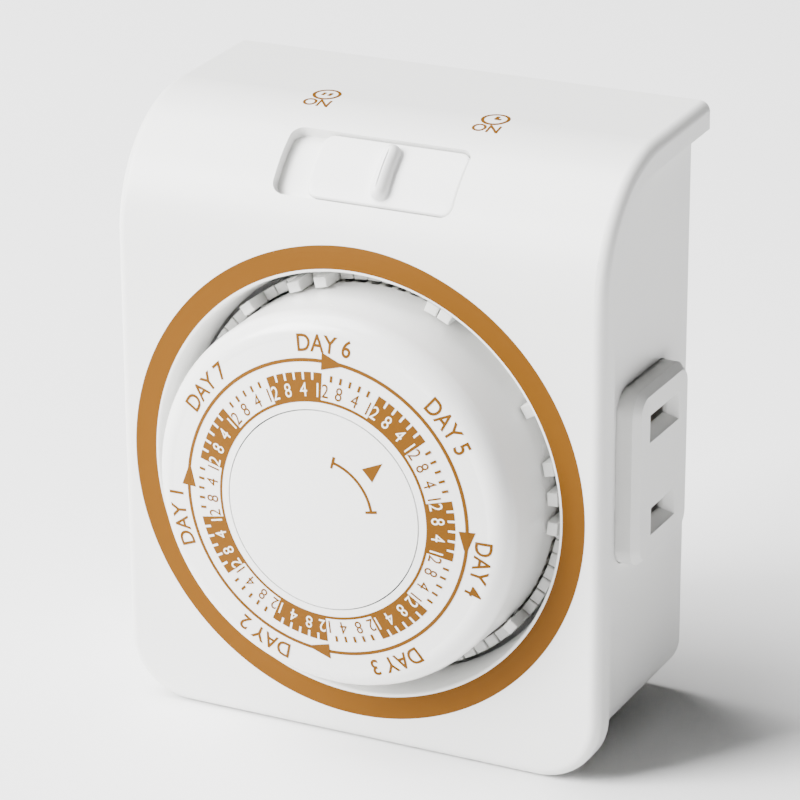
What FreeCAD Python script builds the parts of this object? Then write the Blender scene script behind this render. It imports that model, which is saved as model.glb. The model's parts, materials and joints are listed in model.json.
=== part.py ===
import FreeCAD, Part
import math
import os

from FreeCAD import Vector

os.makedirs("parts", exist_ok=True)

# Plug in timer switch, in millimetres.
# Origin midway between the plug blades, on the back face that meets the wall.
# +X is to the right seen from the front, +Y points back into the wall, +Z is up.

# Front cover, a slab that bends back over the top of the box
panel_width = 67.4
panel_below_dial = 35.1
roof_back_above_dial = 45.95
roof_slope = 2.3
top_bend_radius = 17.0
panel_thickness = 3.6
panel_skin = 2.0
panel_corner_radius = 8.5
panel_edge_round = 1.4
box_inset = 2.2

# Box behind the cover, moulded in two halves
body_depth = 32.6
plug_above_dial = 2.6
seam_from_front = 19.7
box_wall = 1.8
box_corner_radius = 5.2
box_edge_round = 0.7
lip_height = 1.2
lip_wall = 0.8
lip_clearance = 0.1
lip_root_height = 0.8

# Well in the cover that the dial stands in
well_mouth_radius = 28.2
well_foot_radius = 27.5
well_depth = 7.0
well_wall = 1.2
well_edge_round = 0.35

# Deck across the front half of the box, with the post that the dial turns on
deck_front = 13.0
deck_thickness = 1.5
deck_top_above_dial = 31.0
post_radius = 4.0
post_bore_radius = 1.6
post_front = -5.5
turning_clearance = 0.06

# Dial, measured along its axis from the front face of the cover
dial_radius = 24.9
dial_flare = 0.3
dial_crown_radius = 120.0
dial_crown_top = -9.35
dial_edge_round = 3.0
dial_wall = 1.5
dial_skirt_back = 5.6
dial_web_front = -1.6
dial_web_back = 0.0
hub_wall = 2.4
hub_front = -2.8
hub_back = 12.6
centre_disc_radius = 13.1
centre_disc_gap = 0.18
centre_disc_rim = 3.4
centre_disc_rim_wall = 1.1
centre_disc_skin = 1.3
centre_peg_length = 5.0
centre_peg_clearance = 0.05

# Clip that keeps the dial on its post
clip_thickness = 0.6
clip_groove_depth = 0.6
clip_width = 2.4
clip_mouth = 5.0
clip_clearance = 0.08

# Trippers, one for every two hours of the week
trippers_per_day = 12
days = 7
tripper_travel = 3.4
tripper_front = 5.9
tripper_back = 10.6
tripper_inner_radius = 25.45
tripper_outer_radius = 26.85
tripper_width = 1.76
tongue_width = 0.85
tongue_root_radius = 23.4
tongue_thickness = 1.2
tongue_clearance = 0.12
raised_trippers = (5, 6, 14, 18, 20, 22, 30, 75, 79, 81)

# Carrier ring that holds the trippers, with the ring gear at its back
carrier_outer_radius = 25.1
carrier_wall = 1.6
carrier_front = 5.7
spigot_front = 3.0
spigot_clearance = 0.1
gear_front = 11.0
gear_back = 12.6
carrier_web_front = 11.2
web_clearance = 0.1

# Gears, with the tooth module of the slow pair and of the two fast pairs
ring_module = 0.58
train_module = 0.35
ring_teeth = trippers_per_day * days
ring_pinion_teeth = 12
first_wheel_teeth = 50
first_pinion_teeth = 10
second_wheel_teeth = 45
motor_pinion_teeth = 10
tooth_addendum = 0.85
tooth_dedendum = 1.25
tooth_backlash = 0.11
pressure_angle = 20.0
transfer_direction = 225.0
idler_direction = -10.0
motor_direction = 20.0
wheel_thickness = 1.2
wheel_play = 0.5
arbor_radius = 0.8
arbor_clearance = 0.05
wheel_hub_radius = 1.7
transfer_sleeve_radius = 2.6
gear_plane_step = 2.0
gear_hole_clearance = 0.4

# Plate behind the gears, which carries the arbors and the motor
gear_plate_front = 19.4
gear_plate_thickness = 1.2
gear_plate_corner = 3.0
plate_post_radius = 2.2
plate_screw_radius = 0.9
plate_screw_head_radius = 1.8
plate_screw_head_height = 1.0
plate_screw_length = 6.0
plate_post_inset = 2.0
plate_post_rise = 2.6
plate_post_lower_x = 12.8
plate_post_upper_x = 13.2
plate_post_upper_z = -8.6
plate_post_left_z = -8.4
gear_plate_from_wall = 1.3
gear_plate_right = 16.0
gear_plate_top = -5.8

# Sealed gear motor
motor_radius = 12.3
motor_back_gap = 0.4
motor_wall = 0.7
motor_face_thickness = 0.8
motor_coil_inner = 5.8
motor_coil_gap = 0.5
motor_shaft_radius = 0.9
motor_collar_radius = 2.4

# Trip lever that feels the outer faces of the trippers' backs
nose_step = 5.5
nose_clearance = 0.3
nose_width = 1.2
nose_length = 1.1
lever_arm = 10.0
lever_arm_width = 1.6
lever_front = 8.0
lever_thickness = 1.8
lever_shaft_radius = 1.7
lever_peg_radius = 0.5
lever_peg_inset = 0.7
finger_thickness = 1.6
finger_gap = 0.4
finger_collar_radius = 2.6
finger_tip = (13.8, 11.0)
finger_tip_width = 1.1

# Torsion spring on the shaft of the trip lever
spring_wire_radius = 0.25
spring_gap = 0.2
spring_pitch = 0.56
spring_turns = 2.5
spring_leg = 3.0

# Contact blades and rivets, side by side behind the deck
blade_strip_thickness = 0.4
blade_strip_width = 3.8
blade_strip_front = 15.2
moving_strip_x = 15.2
moving_strip_top = 11.5
moving_root_height = 2.6
moving_bead_radius = 0.6
contact_rivet_radius = 1.2
contact_rivet_height = 0.6
contact_gap = 0.3
contact_above_dial = 5.2
fixed_strip_width = 3.0
fixed_foot_from_back = 4.4

# Plug blades, North American 1-15 pattern
blade_spacing = 12.7
blade_thickness = 1.5
line_blade_width = 6.35
neutral_blade_width = 7.9
blade_length = 17.0
blade_tip_chamfer = 1.6
blade_hole_radius = 1.6
blade_hole_from_face = 11.7
blade_shoulder = 1.0
blade_inside = 3.6
blade_slot_clearance = 0.1

# Side outlet
outlet_proud = 3.0
outlet_width = 16.6
outlet_height = 23.4
outlet_from_front = 17.9
outlet_corner = 3.0
outlet_chamfer = 0.9
outlet_flange = 1.6
outlet_flange_thickness = 1.2
outlet_window_clearance = 0.15
neutral_slot_length = 9.4
line_slot_length = 7.8
slot_mouth_height = 3.7
slot_lead_depth = 1.5
slot_lead_slope = 0.75
jaw_leaf = 0.5
jaw_gap = 1.6
jaw_front = 15.4
jaw_back = 22.6
jaw_length = 7.6
jaw_root_x = 21.6
bus_thickness = 0.8
bus_width = 3.6
bay_margin = 2.2
bay_left = 16.8

# Slide switch on the top bend
window_width = 24.8
window_arc = 9.7
window_direction = 45.0
window_corner = 1.6
window_depth = 1.5
window_wall_slope = 0.5
window_pad_half_arc = 7.5
window_pad_half_width = 16.0
slide_travel = 4.4
slide_gap = 0.12
slide_edge_gap = 0.2
slide_thickness = 1.05
ridge_width = 2.3
ridge_height = 1.5
ridge_offset = -0.1
stem_width = 4.0
stem_arc = 3.0
stem_clearance = 0.25
carrier_plate_width = 9.0
carrier_plate_arc = 7.6
carrier_plate_thickness = 1.3
carrier_gap = 0.15
override_leg_width = 2.2
override_leg_depth = 1.4
override_leg_front = 18.4
override_leg_left = 22.1
override_foot_front = 15.0
override_foot_height = 1.7
override_foot_above_dial = 12.9
override_link_above_dial = 36.8
override_link_height = 1.6
override_link_front = 8.8

# Case screws, driven in from the back
screw_from_wall = 4.4
screw_heights = (1.0, 26.5, 27.0)
screw_upper_x = 4.0
screw_post_radius = 2.9
screw_post_from_back = 6.8
screw_pilot_radius = 1.15
screw_radius = 1.1
screw_hole_radius = 1.5
screw_head_radius = 2.6
screw_head_height = 1.6
screw_recess_radius = 2.9
screw_length = 10.0
screw_boss_radius = 3.7
screw_boss_gap = 0.2

# Values worked out from the sizes above
front_y = -body_depth
dial_z = -plug_above_dial
half_panel = panel_width / 2
half_box = half_panel - box_inset
half_room = half_box - box_wall
box_below_dial = panel_below_dial - box_inset
room_below_dial = box_below_dial - box_wall
deck_back = deck_front + deck_thickness
step_angle = 360.0 / ring_teeth
outlet_face_x = half_box + outlet_proud
far = 4 * panel_width


def place(shape):
    """Move a shape drawn from the front face and the dial axis into the frame of the part."""
    shape.translate(Vector(0, front_y, dial_z))
    return shape


def save(shape, name):
    """Write one node."""
    place(shape).exportStep("parts/" + name + ".step")


def fuse_all(shapes):
    """Join a list of shapes into one."""
    joined = shapes[0].multiFuse(shapes[1:]) if len(shapes) > 1 else shapes[0]
    return joined.removeSplitter()


def cut_all(shape, tools):
    """Take a list of shapes out of one."""
    for tool in tools:
        shape = shape.cut(tool)
    return shape


def box(x0, x1, y0, y1, z0, z1):
    """A block between two corners."""
    return Part.makeBox(x1 - x0, y1 - y0, z1 - z0, Vector(x0, y0, z0))


def rod(x, z, radius, y0, y1):
    """A round bar along Y."""
    return Part.makeCylinder(radius, y1 - y0, Vector(x, y0, z), Vector(0, 1, 0))


def bar_x(y, z, radius, x0, x1):
    """A round bar along X."""
    return Part.makeCylinder(radius, x1 - x0, Vector(x0, y, z), Vector(1, 0, 0))


def outline(points):
    """A closed straight-sided wire."""
    return Part.makePolygon(points + [points[0]])


def turned(points):
    """Revolve a closed outline of (radius, y) points about the dial axis."""
    face = Part.Face(outline([Vector(r, y, 0) for r, y in points]))
    return face.revolve(Vector(0, 0, 0), Vector(0, 1, 0), 360)


def side_slab(points, x0, x1):
    """Extrude a closed outline of (y, z) points across X."""
    face = Part.Face(outline([Vector(x0, y, z) for y, z in points]))
    return face.extrude(Vector(x1 - x0, 0, 0))


def flat_slab(points, y0, y1):
    """Extrude a closed outline of (x, z) points along Y."""
    face = Part.Face(outline([Vector(x, y0, z) for x, z in points]))
    return face.extrude(Vector(0, y1 - y0, 0))


def edges_along(shape, direction, where):
    """Straight edges that run along a direction and pass a test on their middle point."""
    found = []
    for edge in shape.Edges:
        if edge.Curve.TypeId != "Part::GeomLine":
            continue
        along = edge.Curve.Direction
        if abs(abs(along.dot(direction)) - 1) < 1e-6 and where(edge.CenterOfMass):
            found.append(edge)
    return found


def crown(r):
    """Depth of the dial's domed face at a radius."""
    return dial_crown_top + r * r / (2 * dial_crown_radius)


def step_place(step, radius):
    """Where a tripper step lies, clockwise from the top as seen from the front."""
    angle = math.radians(step * step_angle)
    return radius * math.sin(angle), radius * math.cos(angle)


def bend_side(inset, roof_end):
    """Outline of the cover seen from the side, a depth in from its outer skin, as (wire edges, end points)."""
    slope = math.radians(roof_slope)
    radius = top_bend_radius - inset
    roof_at_bend = roof_back_above_dial - (body_depth - top_bend_radius) * math.tan(slope)
    centre = Vector(0, top_bend_radius, roof_at_bend - top_bend_radius / math.cos(slope))
    foot = Vector(0, inset, -panel_below_dial)
    start = Vector(0, inset, centre.z)
    turn = 0.5 * (math.pi / 2 - slope)
    middle = centre + Vector(0, -radius * math.cos(turn), radius * math.sin(turn))
    top = centre + Vector(0, -radius * math.sin(slope), radius * math.cos(slope))
    end = top + Vector(0, roof_end - top.y, (roof_end - top.y) * math.tan(slope))
    edges = [Part.LineSegment(foot, start).toShape(), Part.Arc(start, middle, top).toShape()]
    edges.append(Part.LineSegment(top, end).toShape())
    return edges, foot, end, centre


def bent_slab(outer, inner, half_width, roof_end, foot_z):
    """A slab with the cover's bent side view, between two depths below its outer skin."""
    out_edges, out_foot, out_end, centre = bend_side(outer, roof_end)
    in_edges, in_foot, in_end, centre = bend_side(inner, roof_end)
    loop = out_edges + [Part.LineSegment(out_end, in_end).toShape()]
    loop += in_edges[::-1] + [Part.LineSegment(in_foot, out_foot).toShape()]
    wire = Part.Wire(Part.__sortEdges__(loop))
    slab = Part.Face(wire).extrude(Vector(2 * half_width, 0, 0))
    slab.translate(Vector(-half_width, 0, 0))
    return slab.cut(box(-far, far, -far, far, -far, foot_z))


def under_cover(inset, half_width, foot_z, y0, y1):
    """Everything inside the cover's bend, used to shape the box and its room."""
    edges, foot, end, centre = bend_side(inset, body_depth + 1)
    floor_back = Vector(0, body_depth + 1, foot.z)
    loop = edges + [Part.LineSegment(end, floor_back).toShape(), Part.LineSegment(floor_back, foot).toShape()]
    block = Part.Face(Part.Wire(Part.__sortEdges__(loop))).extrude(Vector(2 * half_width, 0, 0))
    block.translate(Vector(-half_width, 0, 0))
    return block.common(box(-far, far, y0, y1, foot_z, far))


def bend_centre():
    """Axis of the top bend in the side view."""
    return bend_side(0, body_depth)[3]


def arc_patch(r0, r1, arc0, arc1, x0, x1):
    """A piece of curved plate on the top bend, between two arc lengths either side of the switch."""
    centre = bend_centre()
    middle = math.radians(window_direction)
    a0 = middle + arc0 / top_bend_radius
    a1 = middle + arc1 / top_bend_radius

    def at(radius, angle):
        return centre + Vector(x0, -radius * math.sin(angle), radius * math.cos(angle))

    half = 0.5 * (a0 + a1)
    edges = [Part.Arc(at(r1, a0), at(r1, half), at(r1, a1)).toShape()]
    edges.append(Part.LineSegment(at(r1, a1), at(r0, a1)).toShape())
    edges.append(Part.Arc(at(r0, a1), at(r0, half), at(r0, a0)).toShape())
    edges.append(Part.LineSegment(at(r0, a0), at(r1, a0)).toShape())
    return Part.Face(Part.Wire(edges)).extrude(Vector(x1 - x0, 0, 0))


def radial_edges(shape):
    """Edges of a curved patch that point at the bend's axis, which are its four corners."""
    centre = bend_centre()
    found = []
    for edge in shape.Edges:
        if edge.Curve.TypeId != "Part::GeomLine":
            continue
        along = edge.Curve.Direction
        if abs(along.x) > 1e-6:
            continue
        spoke = edge.CenterOfMass - centre
        spoke.x = 0
        if abs(abs(along.dot(spoke.normalize())) - 1) < 1e-4:
            found.append(edge)
    return found


def gear(teeth, module, y0, y1, first_angle):
    """A spur gear along Y about the origin, with one tooth centred on an angle from +X towards +Z."""
    pitch = teeth * module / 2
    base = pitch * math.cos(math.radians(pressure_angle))
    root = pitch - tooth_dedendum * module
    tip = pitch + tooth_addendum * module
    roll = math.tan(math.radians(pressure_angle)) - math.radians(pressure_angle)
    half_pitch = math.pi / (2 * teeth) - tooth_backlash / (2 * pitch)

    def half_tooth(radius):
        if radius <= base:
            return half_pitch + roll
        slant = math.acos(base / radius)
        return half_pitch + roll - (math.tan(slant) - slant)

    radii = [root, max(root + 0.15 * module, min(base, pitch)), pitch + 0.1 * module, tip]
    points = []
    for tooth in range(teeth):
        middle = math.radians(first_angle) + 2 * math.pi * tooth / teeth
        flank = [(r, -half_tooth(r)) for r in radii] + [(r, half_tooth(r)) for r in radii[::-1]]
        points += [(r * math.cos(middle + a), r * math.sin(middle + a)) for r, a in flank]
    return flat_slab(points, y0, y1)


def polar(centre, distance, angle):
    """A point at a distance and angle from another, in the plane of the gears."""
    turn = math.radians(angle)
    return centre[0] + distance * math.cos(turn), centre[1] + distance * math.sin(turn)


# Places of the gears, from the tooth counts
ring_centres = (ring_teeth + ring_pinion_teeth) * ring_module / 2
first_centres = (first_wheel_teeth + first_pinion_teeth) * train_module / 2
second_centres = (second_wheel_teeth + motor_pinion_teeth) * train_module / 2
transfer_at = polar((0, 0), ring_centres, transfer_direction)
idler_at = polar(transfer_at, first_centres, idler_direction)
motor_at = polar(idler_at, second_centres, motor_direction)
first_plane = deck_back + wheel_play
second_plane = first_plane + gear_plane_step
plate_back = gear_plate_front + gear_plate_thickness
motor_depth = body_depth - box_wall - motor_back_gap - plate_back
fixed_foot_back = body_depth - fixed_foot_from_back
screw_post_back = body_depth - screw_post_from_back
gear_plate_left = gear_plate_from_wall - half_room
gear_plate_foot = gear_plate_from_wall - room_below_dial
plate_posts = ((gear_plate_left + plate_post_inset, plate_post_left_z),
               (plate_post_lower_x, gear_plate_foot + plate_post_rise),
               (plate_post_upper_x, plate_post_upper_z))
screw_x = half_room - screw_from_wall
screw_places = ((screw_x, screw_from_wall - room_below_dial), (-screw_x, screw_heights[0]),
                (-screw_x, screw_heights[1]), (screw_upper_x, screw_heights[2]))
pivot_radius = tripper_outer_radius + nose_clearance
bus_back = body_depth - box_wall - blade_inside


def front_cover():
    """The white slab at the front, with its rim, the well of the dial and the switch window."""
    rim = box_inset + box_wall
    slab = bent_slab(0, panel_thickness, half_panel, body_depth, -panel_below_dial)
    corners = edges_along(slab, Vector(0, 1, 0), lambda c: c.z < 1 - panel_below_dial)
    slab = slab.makeFillet(panel_corner_radius, corners)
    slab = round_cover_edges(slab)
    hollow = bent_slab(panel_skin, panel_thickness + 1, half_panel - rim, body_depth - rim, rim - panel_below_dial)
    pocket_corners = edges_along(hollow, Vector(0, 1, 0), lambda c: c.z < 1 + rim - panel_below_dial)
    hollow = hollow.makeFillet(panel_corner_radius - rim, pocket_corners)
    pad_arc = window_pad_half_arc
    pad_x = window_pad_half_width
    thick = arc_patch(top_bend_radius - panel_thickness - 1, top_bend_radius, -pad_arc, pad_arc, -pad_x, pad_x)
    hollow = hollow.cut(thick)
    slab = slab.cut(hollow)
    foot = well_foot_radius
    tube = turned([(well_mouth_radius + 0.1, 0.5), (well_mouth_radius + well_wall, 0.5),
                   (well_mouth_radius + well_wall, panel_skin), (foot + well_wall, well_depth),
                   (foot, well_depth)])
    hole = turned([(0, -1), (well_mouth_radius, -1), (well_mouth_radius, 0), (foot, well_depth),
                   (foot, well_depth + 1), (0, well_depth + 1)])
    slab = slab.fuse(tube).cut(hole)
    rims = [e for e in slab.Edges if e.Curve.TypeId == "Part::GeomCircle"
            and abs(e.Curve.Radius - well_mouth_radius) < 0.02 and abs(e.CenterOfMass.y) < 0.02]
    slab = slab.makeFillet(well_edge_round, rims)
    return cut_switch_window(slab)


def round_cover_edges(slab):
    """Round the outer edge of the cover all the way round its front and sides."""
    picked = []
    for edge in slab.Edges:
        c = edge.CenterOfMass
        box_of = edge.BoundBox
        on_side = abs(abs(c.x) - half_panel) < 0.01 and box_of.XLength < 0.01
        on_outer = min_distance_to_skin(edge) < 0.01
        at_front = box_of.YLength < 0.01 and abs(c.y) < 0.01
        if (on_side and on_outer) or at_front:
            picked.append(edge)
    return slab.makeFillet(panel_edge_round, picked)


def min_distance_to_skin(edge):
    """How far the middle of an edge lies inside the outer skin of the cover."""
    point = edge.valueAt(0.5 * (edge.FirstParameter + edge.LastParameter))
    centre = bend_centre()
    if point.z < centre.z:
        return abs(point.y)
    spoke = Vector(0, point.y - centre.y, point.z - centre.z)
    if spoke.y > -top_bend_radius * math.sin(math.radians(roof_slope)):
        roof = roof_back_above_dial - (body_depth - point.y) * math.tan(math.radians(roof_slope))
        return abs(roof - point.z)
    return abs(top_bend_radius - spoke.Length)


def cut_switch_window(slab):
    """Sink the rounded window of the slide switch and cut the slot for its stem."""
    outer = top_bend_radius
    half = window_width / 2
    half_arc = window_arc / 2
    sink = arc_patch(outer - window_depth, outer + 2, -half_arc, half_arc, -half, half)
    sink = sink.makeFillet(window_corner, radial_edges(sink))
    stem_half = stem_width / 2 + slide_travel / 2 + stem_clearance
    stem_half_arc = stem_arc / 2 + stem_clearance
    middle = window_middle()
    slot = arc_patch(outer - 6, outer, -stem_half_arc, stem_half_arc, middle - stem_half, middle + stem_half)
    return slab.cut(sink).cut(slot)


def window_middle():
    """Middle of the stem's travel across X."""
    return ridge_offset


def box_shell(y0, y1):
    """Walls of the box between two depths, with its rounded lower corners."""
    block = under_cover(panel_thickness, half_box, -box_below_dial, y0, y1)
    corners = edges_along(block, Vector(0, 1, 0), lambda c: c.z < 1 - box_below_dial)
    block = block.makeFillet(box_corner_radius, corners)
    room = under_cover(panel_thickness - 1, half_room, -room_below_dial, -1, body_depth + 1)
    corners = edges_along(room, Vector(0, 1, 0), lambda c: c.z < 1 - room_below_dial)
    room = room.makeFillet(box_corner_radius - box_wall, corners)
    return block, room


def outlet_block(grow, x0, x1):
    """The rounded block shape of the outlet plate, grown all round by a clearance."""
    half_y = outlet_width / 2 + grow
    half_z = outlet_height / 2 + grow
    y = outlet_from_front
    z = plug_above_dial
    block = box(x0, x1, y - half_y, y + half_y, z - half_z, z + half_z)
    return block.makeFillet(outlet_corner + grow, edges_along(block, Vector(1, 0, 0), lambda c: True))


def outlet_window():
    """Space that the outlet plate and its inner flange take out of the box wall."""
    return outlet_block(outlet_window_clearance, half_room - 1, half_box + 1)


def outlet_bay():
    """Space in the deck for the contacts behind the side outlet and for a plug's blades."""
    reach = blade_spacing / 2 + bay_margin
    bay = box(bay_left, half_room + 1, deck_front - 1, deck_back + 1, plug_above_dial - reach, plug_above_dial + reach)
    return bay.fuse(outlet_block(outlet_flange + 0.3, half_room - 2, half_room + 1))


def front_housing():
    """Front half of the box, with the deck, the dial post and the posts behind the deck."""
    block, room = box_shell(panel_thickness, seam_from_front)
    shell = block.cut(room)
    deck = room.common(box(-far, far, deck_front, deck_back, -far, deck_top_above_dial)).cut(outlet_bay())
    post = rod(0, 0, post_radius, post_front, deck_front + 0.5)
    land = rod(0, 0, post_radius + hub_wall - 0.4, hub_back + 0.1, deck_front + 0.5)
    posts = [rod(x, z, screw_post_radius, deck_front + 0.5, screw_post_back) for x, z in screw_places]
    posts += [rod(x, z, plate_post_radius, deck_front + 0.5, gear_plate_front) for x, z in plate_posts]
    body = fuse_all([shell, deck, post, land] + posts)
    holes = [rod(0, 0, post_bore_radius, post_front - 1, post_front + centre_peg_length + 1)]
    pinion_hole = (ring_pinion_teeth / 2 + tooth_addendum) * ring_module + gear_hole_clearance
    holes += [rod(transfer_at[0], transfer_at[1], pinion_hole, deck_front - 1, deck_back + 1)]
    holes += [rod(idler_at[0], idler_at[1], arbor_radius + 0.01, deck_back - 1, deck_back + 1)]
    holes += [rod(x, z, screw_pilot_radius, deck_back, screw_post_back + 1) for x, z in screw_places]
    holes += [rod(x, z, plate_screw_radius + 0.02, deck_back, gear_plate_front + 1) for x, z in plate_posts]
    px, pz = lever_point(lever_arm, pivot_radius)
    holes += [rod(px, pz, lever_shaft_radius + turning_clearance, deck_front - 1, deck_back + 1)]
    return cut_all(body, holes + [clip_groove(), outlet_window()])


def clip_groove():
    """Groove in the post for the dial's clip."""
    back = hub_front - 0.25
    front = back - clip_thickness - 2 * clip_clearance
    ring = rod(0, 0, post_radius + 1, front, back)
    return ring.cut(rod(0, 0, post_radius - clip_groove_depth, front - 1, back + 1))


def dial_clip():
    """Open spring clip in the groove of the post."""
    back = hub_front - 0.25 - clip_clearance
    front = back - clip_thickness
    inner = post_radius - clip_groove_depth + clip_clearance
    ring = rod(0, 0, inner + clip_width, front, back).cut(rod(0, 0, inner, front - 1, back + 1))
    return ring.cut(box(-clip_mouth / 2, clip_mouth / 2, front - 1, back + 1, -far, 0))


def lever_point(along, out):
    """A point near the trip lever's nose, along its arm and out from the dial axis, as (x, z)."""
    turn = math.radians(nose_step * step_angle)
    return along * math.cos(turn) + out * math.sin(turn), out * math.cos(turn) - along * math.sin(turn)


def trip_lever():
    """Lever whose nose rides on the trippers' backs, with its shaft through the deck."""
    tip = pivot_radius
    inner = tip + nose_length
    outer = inner + lever_arm_width
    half = nose_width / 2
    corners = [(-half, tip), (half, tip), (half + 0.6, inner), (lever_arm - 0.5, inner), (lever_arm - 0.5, outer),
               (-half - 0.4, outer), (-half - 0.8, outer - 0.7), (-half - 0.6, inner)]
    back = lever_front + lever_thickness
    arm = flat_slab([lever_point(u, v) for u, v in corners], lever_front, back)
    px, pz = lever_point(lever_arm, pivot_radius)
    hub = rod(px, pz, lever_shaft_radius, lever_front, finger_front() + finger_thickness + 0.2)
    gx, gz = lever_point(spring_leg, outer - lever_peg_inset)
    peg = rod(gx, gz, lever_peg_radius, back - 0.2, back + 2.0)
    return fuse_all([arm, hub, peg])


def finger_front():
    """Front face of the contact finger, just behind the deck."""
    return deck_back + finger_gap


def contact_finger():
    """Finger pressed on the back end of the lever's shaft, which lifts the moving contact."""
    px, pz = lever_point(lever_arm, pivot_radius)
    tx, tz = finger_tip
    length = math.hypot(px - tx, pz - tz)
    sx = (pz - tz) / length
    sz = (tx - px) / length
    a = finger_collar_radius - 0.4
    b = finger_tip_width / 2
    corners = [(px + sx * a, pz + sz * a), (tx + sx * b, tz + sz * b), (tx - sx * b, tz - sz * b),
               (px - sx * a, pz - sz * a)]
    y0 = finger_front()
    y1 = y0 + finger_thickness
    body = flat_slab(corners, y0, y1).fuse(rod(px, pz, finger_collar_radius, y0, y1)).removeSplitter()
    return body.cut(rod(px, pz, lever_shaft_radius, y0 - 1, y1 + 1))


def trip_spring():
    """Torsion spring round the lever's shaft, with one leg over the lever's peg."""
    radius = lever_shaft_radius + spring_gap + spring_wire_radius
    helix = Part.makeHelix(spring_pitch, spring_pitch * spring_turns, radius)
    edge = helix.Edges[0]
    start = edge.valueAt(edge.FirstParameter)
    ahead = edge.tangentAt(edge.FirstParameter)
    section = Part.Wire(Part.makeCircle(spring_wire_radius, start, ahead))
    coil = Part.Wire(helix.Edges).makePipeShell([section], True, False)
    coil.rotate(Vector(0, 0, 0), Vector(1, 0, 0), -90)
    px, pz = lever_point(lever_arm, pivot_radius)
    coil.translate(Vector(px, lever_front + lever_thickness + 1.2, pz))
    return coil


def dial_cap():
    """Domed dial with its skirt, inner wall, web and hub, and a hole for the fixed centre."""
    wall = dial_wall
    hole = centre_disc_radius + centre_disc_gap
    bore = post_radius + turning_clearance
    hub = bore + hub_wall
    edge = dial_radius - dial_edge_round
    side_top = crown(edge) + dial_edge_round
    skirt = dial_radius + dial_flare
    profile = []

    def line(a, b):
        profile.append(Part.LineSegment(Vector(a[0], a[1], 0), Vector(b[0], b[1], 0)).toShape())

    def arc(a, m, b):
        profile.append(Part.Arc(Vector(a[0], a[1], 0), Vector(m[0], m[1], 0), Vector(b[0], b[1], 0)).toShape())

    mid = 0.5 * (hole + edge)
    arc((hole, crown(hole)), (mid, crown(mid)), (edge, crown(edge)))
    corner = (edge + dial_edge_round * math.sin(math.radians(45)),
              side_top - dial_edge_round * math.cos(math.radians(45)))
    arc((edge, crown(edge)), corner, (dial_radius, side_top))
    line((dial_radius, side_top), (skirt, dial_skirt_back))
    line((skirt, dial_skirt_back), (skirt - wall, dial_skirt_back))
    inner_edge = edge - 0.2
    line((skirt - wall, dial_skirt_back), (dial_radius - wall, side_top + 0.4))
    line((dial_radius - wall, side_top + 0.4), (inner_edge, crown(edge) + wall))
    line((inner_edge, crown(edge) + wall), (hole + wall, crown(hole) + wall))
    line((hole + wall, crown(hole) + wall), (hole + wall, dial_web_back))
    line((hole + wall, dial_web_back), (hub, dial_web_back))
    line((hub, dial_web_back), (hub, hub_back))
    line((hub, hub_back), (bore, hub_back))
    line((bore, hub_back), (bore, hub_front))
    line((bore, hub_front), (hub, hub_front))
    line((hub, hub_front), (hub, dial_web_front))
    line((hub, dial_web_front), (hole, dial_web_front))
    line((hole, dial_web_front), (hole, crown(hole)))
    return Part.Face(Part.Wire(profile)).revolve(Vector(0, 0, 0), Vector(0, 1, 0), 360)


def centre_disc():
    """Fixed disc in the middle of the dial, on the end of the post."""
    r = centre_disc_radius
    half = r / 2
    rim = centre_disc_rim_wall
    back = crown(r) + centre_disc_rim
    skin = crown(r) + centre_disc_skin
    boss = post_radius - 0.4
    profile = [Part.Arc(Vector(0, crown(0), 0), Vector(half, crown(half), 0), Vector(r, crown(r), 0)).toShape()]
    corners = [(r, crown(r)), (r, back), (r - rim, back), (r - rim, skin), (boss, skin), (boss, post_front),
               (post_bore_radius - centre_peg_clearance, post_front),
               (post_bore_radius - centre_peg_clearance, post_front + centre_peg_length),
               (0, post_front + centre_peg_length), (0, crown(0))]
    for a, b in zip(corners, corners[1:]):
        profile.append(Part.LineSegment(Vector(a[0], a[1], 0), Vector(b[0], b[1], 0)).toShape())
    return Part.Face(Part.Wire(profile)).revolve(Vector(0, 0, 0), Vector(0, 1, 0), 360)


def tripper_carrier():
    """Ring behind the dial with a slot for each tripper and the ring gear at its back."""
    inner = tongue_root_radius - 0.25
    wall = inner - carrier_wall
    hub = post_radius + turning_clearance + hub_wall + web_clearance
    spigot = dial_radius + dial_flare - dial_wall - 0.1 - spigot_clearance
    root = (ring_teeth / 2 - tooth_dedendum) * ring_module - 0.03
    ring = turned([(wall, spigot_front), (spigot, spigot_front), (spigot, carrier_front),
                   (carrier_outer_radius, carrier_front), (carrier_outer_radius, gear_front),
                   (root, gear_front), (root, gear_back), (hub, gear_back), (hub, carrier_web_front),
                   (wall, carrier_web_front)])
    half = tongue_width / 2 + tongue_clearance
    slot = box(-half, half, carrier_front - 1, gear_front + 0.001, inner, carrier_outer_radius + 1)
    slots = []
    for step in range(ring_teeth):
        copy = slot.copy()
        copy.rotate(Vector(0, 0, 0), Vector(0, 1, 0), step * step_angle)
        slots.append(copy)
    ring = ring.cut(Part.makeCompound(slots))
    teeth = gear(ring_teeth, ring_module, gear_front, gear_back, ring_tooth_angle())
    teeth = teeth.cut(rod(0, 0, root - 0.3, gear_front - 1, gear_back + 1))
    return fuse_all([ring, teeth])


def ring_tooth_angle():
    """A ring tooth points straight at the pinion on the transfer wheel."""
    return transfer_direction


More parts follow.
